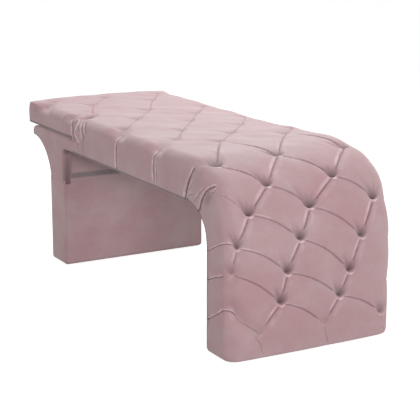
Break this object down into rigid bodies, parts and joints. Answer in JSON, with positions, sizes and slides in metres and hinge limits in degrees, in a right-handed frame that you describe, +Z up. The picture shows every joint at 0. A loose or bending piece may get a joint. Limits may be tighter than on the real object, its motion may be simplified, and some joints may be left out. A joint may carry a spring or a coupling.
{
  "type": "eyelash extension bed",
  "caption": "Waterfall treatment bed in tufted velvet, its padded top curving down to the floor at the foot, with a tilting headrest over a flared, slab-legged head support.",
  "frame": {"origin": "on the floor under the middle of the bed", "axes": "+X towards the foot, -X towards the head, +Y to the right as seen from the foot end, +Z up"},
  "size_m": [1.85, 0.7, 0.7],
  "materials": {
    "velvet": "matte",
    "plywood": "matte",
    "timber": "matte",
    "dust_cloth": "matte",
    "hinge_steel": "satin",
    "glide_plastic": "satin"
  },
  "bodies": {
    "base": {"main_cushion": "velvet", "side_pad_left": "velvet", "side_pad_right": "velvet", "cheek_lining_left": "velvet", "cheek_lining_right": "velvet", "knee_facing": "velvet", "head_back_facing": "velvet", "head_front_facing": "velvet", "head_deck_padding": "velvet", "leg_cover": "velvet", "side_rail_left": "plywood", "side_rail_right": "plywood", "span_board": "plywood", "curve_panel": "plywood", "head_panel": "plywood", "head_deck": "plywood", "leg_board_back": "plywood", "leg_board_front": "plywood", "cross_rail_1": "timber", "cross_rail_2": "timber", "cross_rail_3": "timber", "cross_rail_4": "timber", "cross_rail_bend": "timber", "foot_rail_upper": "timber", "foot_rail_lower": "timber", "head_nose_rail": "timber", "head_cleat": "timber", "leg_post_left": "timber", "leg_post_right": "timber", "leg_rail_top": "timber", "leg_rail_bottom": "timber", "dust_lining": "dust_cloth", "hinge_left_fixed_arm": "hinge_steel", "hinge_left_pin": "hinge_steel", "hinge_left_bolt_1": "hinge_steel", "hinge_left_bolt_2": "hinge_steel", "hinge_right_fixed_arm": "hinge_steel", "hinge_right_pin": "hinge_steel", "hinge_right_bolt_1": "hinge_steel", "hinge_right_bolt_2": "hinge_steel", "leg_bolt_1": "hinge_steel", "leg_bolt_2": "hinge_steel", "leg_bolt_3": "hinge_steel", "glide_foot_left": "glide_plastic", "glide_foot_right": "glide_plastic", "glide_leg_left": "glide_plastic", "glide_leg_right": "glide_plastic"},
    "headrest": {"headrest_cushion": "velvet", "headrest_board": "plywood", "headrest_lining": "dust_cloth", "hinge_left_moving_arm": "hinge_steel", "hinge_left_screw_1": "hinge_steel", "hinge_left_screw_2": "hinge_steel", "hinge_right_moving_arm": "hinge_steel", "hinge_right_screw_1": "hinge_steel", "hinge_right_screw_2": "hinge_steel"}
  },
  "joints": [
    {"name": "headrest_tilt", "type": "hinge", "parent": "base", "child": "headrest", "pos_m": [-0.435, 0, 0.676], "axis": [0, 1, 0], "range_deg": [0, 40]}
  ]
}
